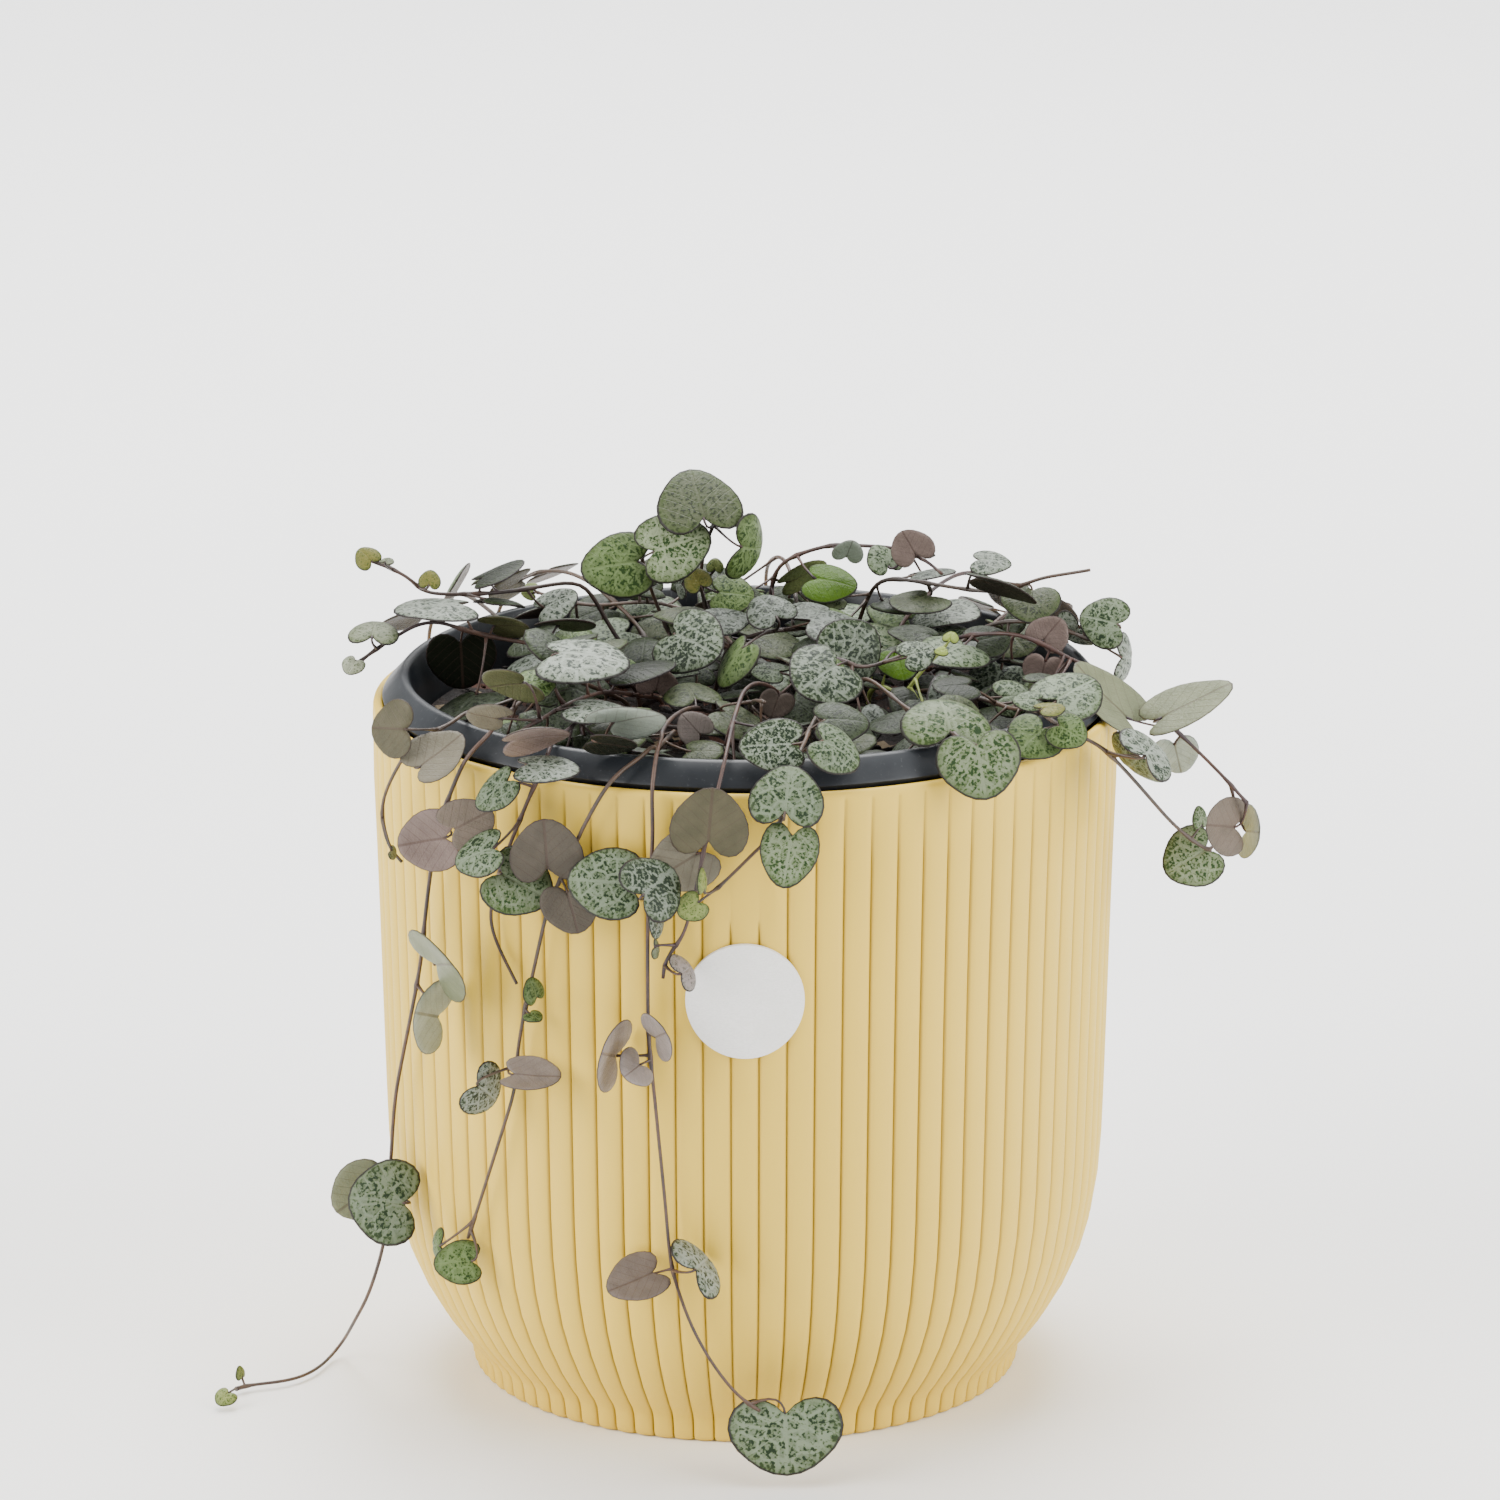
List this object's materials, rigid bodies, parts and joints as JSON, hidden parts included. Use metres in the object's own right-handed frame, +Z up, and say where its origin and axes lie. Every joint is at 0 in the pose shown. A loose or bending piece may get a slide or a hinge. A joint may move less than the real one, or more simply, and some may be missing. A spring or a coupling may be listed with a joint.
{
  "type": "potted string of hearts",
  "caption": "Trailing string of hearts plant with small mottled heart leaves, in a grower's pot inside a round ribbed cover pot with a narrow foot",
  "frame": {"origin": "on the pots' axis, in the plane of the cover pot's flat underside", "axes": "+Z up along the pots' axis, -Y towards the viewer and the label, +X to the viewer's right"},
  "size_m": [0.1968, 0.1649, 0.1694],
  "materials": {
    "cover_pot": "satin",
    "label": "satin",
    "nursery_pot": "satin",
    "soil": "matte",
    "plant": "satin"
  },
  "bodies": {
    "root": {"cover_pot": "cover_pot", "label": "label", "nursery_pot": "nursery_pot", "soil": "soil", "vine_back_left": "plant", "vine_back_long": "plant", "vine_back_right": "plant", "vine_front_left": "plant", "vine_front_long": "plant", "vine_front_middle": "plant", "vine_front_purple": "plant", "vine_front_right": "plant", "vine_left_long": "plant", "vine_left_lower": "plant", "vine_left_thin": "plant", "vine_left_upper": "plant", "vine_mound_back": "plant", "vine_mound_centre": "plant", "vine_mound_front": "plant", "vine_mound_left": "plant", "vine_mound_middle": "plant", "vine_mound_right": "plant", "vine_right_front": "plant", "vine_right_long": "plant", "vine_right_low": "plant", "vine_right_middle": "plant", "vine_side_left": "plant", "vine_side_right": "plant", "vine_top_far_right": "plant", "vine_top_right": "plant", "vine_upright_left": "plant", "vine_upright_tall": "plant", "vine_young_shoot": "plant"}
  },
  "joints": []
}
